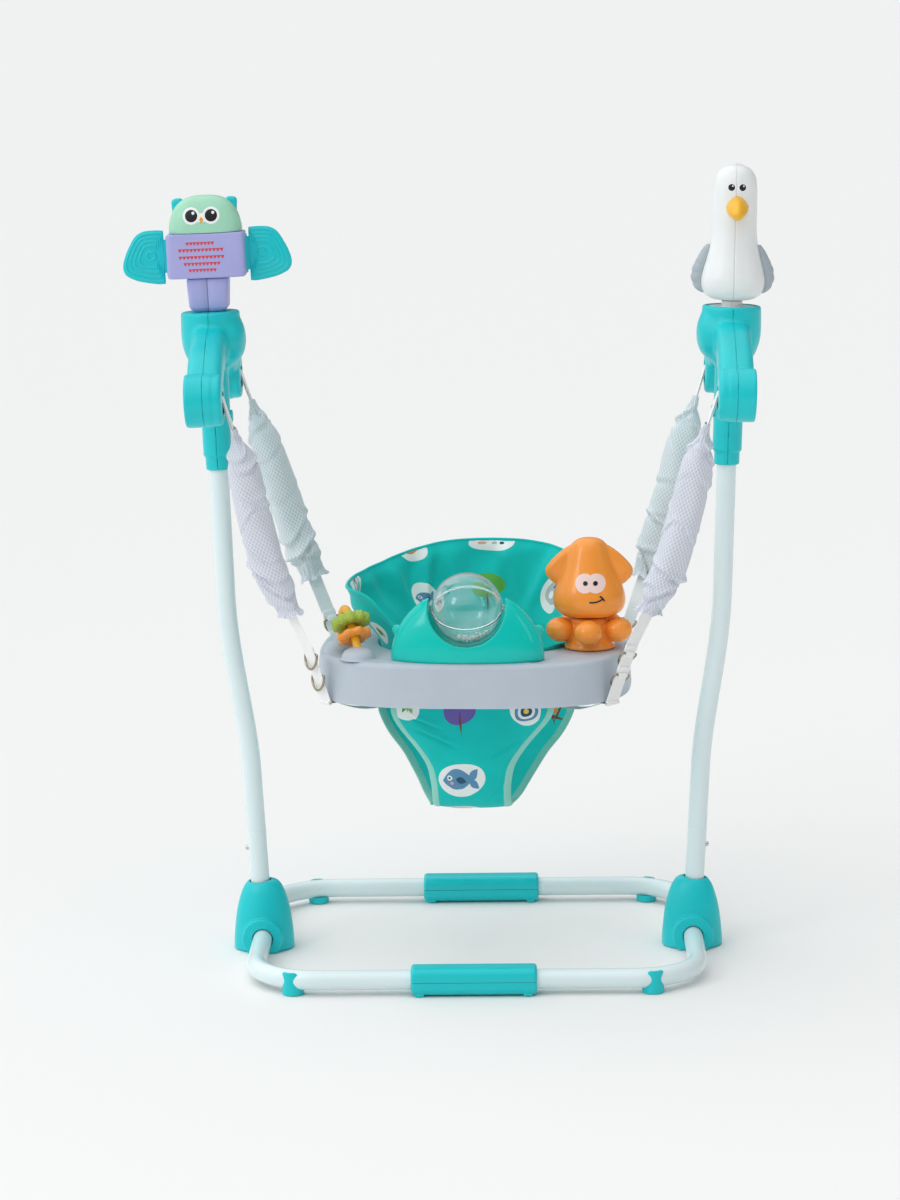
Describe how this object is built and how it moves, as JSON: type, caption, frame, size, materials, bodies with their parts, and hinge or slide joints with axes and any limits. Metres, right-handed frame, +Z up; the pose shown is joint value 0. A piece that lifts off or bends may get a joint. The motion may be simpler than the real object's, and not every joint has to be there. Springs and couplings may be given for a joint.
{
  "type": "baby jumper",
  "caption": "Free-standing baby jumper: tube stand with two towers, a padded seat and toy tray hung on spring straps, and animal toys.",
  "frame": {"origin": "on the floor, under the middle of the object's box", "axes": "+X towards the gull's tower, -Y towards the front of the tray with the ball toy, +Z up"},
  "size_m": [0.9295, 0.56, 1.1517],
  "materials": {
    "pale_painted_steel": "satin powder coat",
    "bright_steel": "zinc plated",
    "teal_plastic": "satin moulded polypropylene",
    "gloss_turquoise_plastic": "polished moulding",
    "clear_plastic": "polished clear plastic",
    "grey_plastic": "satin moulded",
    "orange_plastic": "smooth moulded",
    "lime_plastic": "satin moulded",
    "yellow_plastic": "smooth moulded",
    "mint_plastic": "satin moulded",
    "lilac_plastic": "satin moulded",
    "white_plastic": "satin moulded",
    "wing_grey_plastic": "satin moulded",
    "white_webbing": "woven polyester",
    "lattice_fabric": "printed brushed polyester",
    "teal_fabric": "woven polyester with mint binding"
  },
  "bodies": {
    "stand": {"base_tube_left": "pale_painted_steel", "base_tube_right": "pale_painted_steel", "base_shroud_left": "teal_plastic", "base_shroud_right": "teal_plastic", "lower_post_left": "pale_painted_steel", "lower_post_right": "pale_painted_steel", "upper_post_left": "pale_painted_steel", "upper_post_right": "pale_painted_steel", "foot_front_left": "teal_plastic", "foot_front_right": "teal_plastic", "foot_rear_left": "teal_plastic", "foot_rear_right": "teal_plastic", "sleeve_upper_front": "teal_plastic", "sleeve_lower_front": "teal_plastic", "sleeve_upper_rear": "teal_plastic", "sleeve_lower_rear": "teal_plastic", "tower_outer_shell_left": "teal_plastic", "tower_inner_shell_left": "teal_plastic", "tower_outer_shell_right": "teal_plastic", "tower_inner_shell_right": "teal_plastic", "owl_stem": "lilac_plastic", "gull_plate": "white_plastic"},
    "seat": {"tray_shell": "grey_plastic", "tray_bottom": "grey_plastic", "seat_fabric": "teal_fabric", "ball_cradle": "gloss_turquoise_plastic", "squid_base": "orange_plastic", "bead_arch": "yellow_plastic"},
    "strap_front_left_upper": {"strap_upper_front_left": "white_webbing", "strap_spring_front_left": "bright_steel", "strap_cover_front_left": "lattice_fabric"},
    "strap_front_left_lower": {"strap_lower_front_left": "white_webbing"},
    "strap_front_right_upper": {"strap_upper_front_right": "white_webbing", "strap_spring_front_right": "bright_steel", "strap_cover_front_right": "lattice_fabric"},
    "strap_front_right_lower": {"strap_lower_front_right": "white_webbing"},
    "strap_rear_left_upper": {"strap_upper_rear_left": "white_webbing", "strap_spring_rear_left": "bright_steel", "strap_cover_rear_left": "lattice_fabric"},
    "strap_rear_left_lower": {"strap_lower_rear_left": "white_webbing"},
    "strap_rear_right_upper": {"strap_upper_rear_right": "white_webbing", "strap_spring_rear_right": "bright_steel", "strap_cover_rear_right": "lattice_fabric"},
    "strap_rear_right_lower": {"strap_lower_rear_right": "white_webbing"},
    "ball": {"ball_lower": "clear_plastic", "ball_upper": "clear_plastic"},
    "squid": {"squid_head": "orange_plastic"},
    "green_ring": {"bead_ring_green": "lime_plastic"},
    "orange_ring": {"bead_ring_orange": "orange_plastic"},
    "owl": {"owl_body": "lilac_plastic", "owl_head": "mint_plastic"},
    "owl_wing_left": {"owl_wing_left": "teal_plastic"},
    "owl_wing_right": {"owl_wing_right": "teal_plastic"},
    "gull": {"gull_body": "white_plastic", "gull_wings": "wing_grey_plastic", "gull_beak": "yellow_plastic"},
    "tower_button_left": {"tower_button_left": "teal_plastic"},
    "post_button_left": {"post_button_left": "bright_steel"},
    "tower_button_right": {"tower_button_right": "teal_plastic"},
    "post_button_right": {"post_button_right": "bright_steel"}
  },
  "joints": [
    {"name": "seat_bounce", "type": "slide", "parent": "stand", "child": "seat", "axis": [0, 0, 1], "range_m": [-0.09, 0], "stiffness_N_per_m": 1200, "springref_m": 0.03},
    {"name": "strap_front_left_swing", "type": "hinge", "parent": "stand", "child": "strap_front_left_upper", "pos_m": [-0.31478, -0.172, 0.83665], "axis": [-0.356, 0.9345, 0], "range_deg": [0, 3.08]},
    {"name": "strap_front_left_stretch", "type": "slide", "parent": "strap_front_left_upper", "child": "strap_front_left_lower", "axis": [0.2939, 0.1119, -0.9493], "range_m": [0, 0.0866], "deforming": ["strap_spring_front_left", "strap_cover_front_left"]},
    {"name": "strap_front_right_swing", "type": "hinge", "parent": "stand", "child": "strap_front_right_upper", "pos_m": [0.38378, -0.172, 0.83665], "axis": [-0.1782, -0.984, 0], "range_deg": [0, 3.23]},
    {"name": "strap_front_right_stretch", "type": "slide", "parent": "strap_front_right_upper", "child": "strap_front_right_lower", "axis": [-0.3258, 0.059, -0.9436], "range_m": [0, 0.0861], "deforming": ["strap_spring_front_right", "strap_cover_front_right"]},
    {"name": "strap_rear_left_swing", "type": "hinge", "parent": "stand", "child": "strap_rear_left_upper", "pos_m": [-0.31478, 0.172, 0.83665], "axis": [0.1548, 0.9879, 0], "range_deg": [0, 3.26]},
    {"name": "strap_rear_left_stretch", "type": "slide", "parent": "strap_rear_left_upper", "child": "strap_rear_left_lower", "axis": [0.3312, -0.0519, -0.9421], "range_m": [0, 0.086], "deforming": ["strap_spring_rear_left", "strap_cover_rear_left"]},
    {"name": "strap_rear_right_swing", "type": "hinge", "parent": "stand", "child": "strap_rear_right_upper", "pos_m": [0.38378, 0.172, 0.83665], "axis": [0.3293, -0.9442, 0], "range_deg": [0, 3.1]},
    {"name": "strap_rear_right_stretch", "type": "slide", "parent": "strap_rear_right_upper", "child": "strap_rear_right_lower", "axis": [-0.2987, -0.1042, -0.9486], "range_m": [0, 0.0865], "deforming": ["strap_spring_rear_right", "strap_cover_rear_right"]},
    {"name": "ball_spin", "type": "hinge", "parent": "seat", "child": "ball", "pos_m": [0.02623, -0.13925, 0.5323], "axis": [0.9982, -0.0593, 0], "continuous": true},
    {"name": "squid_turn", "type": "hinge", "parent": "seat", "child": "squid", "pos_m": [0.20153, -0.055, 0.5043], "axis": [0, 0, 1], "continuous": true},
    {"name": "green_ring_turn", "type": "hinge", "parent": "seat", "child": "green_ring", "pos_m": [-0.14141, -0.09774, 0.506], "axis": [-0.2516, 0.5478, 0.7979], "continuous": true},
    {"name": "orange_ring_turn", "type": "hinge", "parent": "seat", "child": "orange_ring", "pos_m": [-0.13573, -0.1101, 0.488], "axis": [-0.2516, 0.5478, 0.7979], "continuous": true},
    {"name": "owl_turn", "type": "hinge", "parent": "stand", "child": "owl", "pos_m": [-0.34228, 0, 0.99526], "axis": [-0.0314, 0, 0.9995], "continuous": true},
    {"name": "owl_wing_left_flap", "type": "hinge", "parent": "owl", "child": "owl_wing_left", "pos_m": [-0.39865, 0, 1.02551], "axis": [-0.0314, 0, 0.9995], "range_deg": [-28, 28]},
    {"name": "owl_wing_right_flap", "type": "hinge", "parent": "owl", "child": "owl_wing_right", "pos_m": [-0.28791, 0, 1.02899], "axis": [-0.0314, 0, 0.9995], "range_deg": [-28, 28]},
    {"name": "gull_turn", "type": "hinge", "parent": "stand", "child": "gull", "pos_m": [0.40996, 0, 0.95328], "axis": [0.0314, 0, 0.9995], "continuous": true},
    {"name": "tower_button_left_press", "type": "slide", "parent": "stand", "child": "tower_button_left", "axis": [-0.9995, 0, -0.0314], "range_m": [0, 0.003], "stiffness_N_per_m": 500, "springref_m": -0.002},
    {"name": "post_button_left_press", "type": "slide", "parent": "stand", "child": "post_button_left", "axis": [1, 0, 0], "range_m": [0, 0.004], "stiffness_N_per_m": 700, "springref_m": -0.002},
    {"name": "tower_button_right_press", "type": "slide", "parent": "stand", "child": "tower_button_right", "axis": [0.9995, 0, -0.0314], "range_m": [0, 0.003], "stiffness_N_per_m": 500, "springref_m": -0.002},
    {"name": "post_button_right_press", "type": "slide", "parent": "stand", "child": "post_button_right", "axis": [-1, 0, 0], "range_m": [0, 0.004], "stiffness_N_per_m": 700, "springref_m": -0.002}
  ],
  "couplings": [
    {"joint": "strap_front_left_swing", "follows": "seat_bounce", "rad_per_m": -0.58811},
    {"joint": "strap_front_left_stretch", "follows": "seat_bounce", "ratio": -0.95615},
    {"joint": "strap_front_right_swing", "follows": "seat_bounce", "rad_per_m": -0.61646},
    {"joint": "strap_front_right_stretch", "follows": "seat_bounce", "ratio": -0.95119},
    {"joint": "strap_rear_left_swing", "follows": "seat_bounce", "rad_per_m": -0.62336},
    {"joint": "strap_rear_left_stretch", "follows": "seat_bounce", "ratio": -0.94993},
    {"joint": "strap_rear_right_swing", "follows": "seat_bounce", "rad_per_m": -0.59129},
    {"joint": "strap_rear_right_stretch", "follows": "seat_bounce", "ratio": -0.95561}
  ]
}
